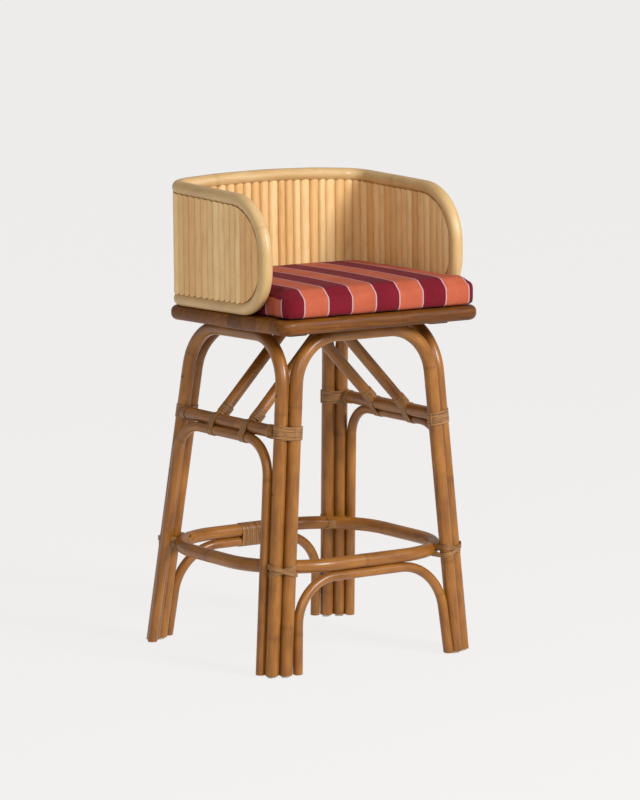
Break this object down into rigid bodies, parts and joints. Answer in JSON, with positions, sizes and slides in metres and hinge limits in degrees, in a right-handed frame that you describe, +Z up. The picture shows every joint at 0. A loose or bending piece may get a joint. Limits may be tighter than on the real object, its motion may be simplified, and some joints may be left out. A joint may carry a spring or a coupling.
{
  "type": "bar stool",
  "caption": "Bar stool of bent rattan canes with a footrest ring, wooden seat board, low cane tub back with arms, and a loose striped cushion.",
  "frame": {"origin": "centre of the stool's outline on the floor", "axes": "+Z up, the front of the seat faces -Y, +X to the stool's right-hand side seen from the front"},
  "size_m": [0.5202, 0.5219, 0.9754],
  "materials": {
    "brown_rattan": "brown stained rattan cane, satin lacquer",
    "natural_rattan": "natural light rattan cane, satin lacquer",
    "rattan_peel": "brown stained rattan peel, satin lacquer",
    "stained_wood": "brown stained hardwood, satin lacquer",
    "striped_fabric": "woven fabric with wide orange and burgundy stripes",
    "nylon_glide": "pale nylon",
    "pin_steel": "dull steel pin heads"
  },
  "bodies": {
    "frame": {"back_arch": "brown_rattan", "back_brace": "brown_rattan", "back_lower_arch": "brown_rattan", "back_slats": "natural_rattan", "brace_strap_left_back": "rattan_peel", "brace_strap_left_front": "rattan_peel", "brace_strap_right_back": "rattan_peel", "brace_strap_right_front": "rattan_peel", "corner_blocks": "stained_wood", "corner_wrap_left_back": "rattan_peel", "corner_wrap_left_front": "rattan_peel", "corner_wrap_right_back": "rattan_peel", "corner_wrap_right_front": "rattan_peel", "foot_glides": "nylon_glide", "footrest_ring": "brown_rattan", "front_arch": "brown_rattan", "front_brace": "brown_rattan", "front_lower_arch": "brown_rattan", "left_arch": "brown_rattan", "left_arm_slats": "natural_rattan", "left_corner_slats": "natural_rattan", "left_inner_arch": "brown_rattan", "left_stretcher": "brown_rattan", "leg_pins": "pin_steel", "right_arch": "brown_rattan", "right_arm_slats": "natural_rattan", "right_corner_slats": "natural_rattan", "right_inner_arch": "brown_rattan", "right_stretcher": "brown_rattan", "ring_joint_wrap": "rattan_peel", "ring_wrap_left_back": "rattan_peel", "ring_wrap_left_front": "rattan_peel", "ring_wrap_right_back": "rattan_peel", "ring_wrap_right_front": "rattan_peel", "seat_board": "stained_wood", "stretcher_end_wraps": "rattan_peel", "tub_frame": "natural_rattan"},
    "cushion": {"seat_cushion": "striped_fabric"}
  },
  "joints": [
    {"name": "cushion_lift", "type": "slide", "parent": "frame", "child": "cushion", "axis": [0, 0, 1], "range_m": [0, 0.3]}
  ]
}
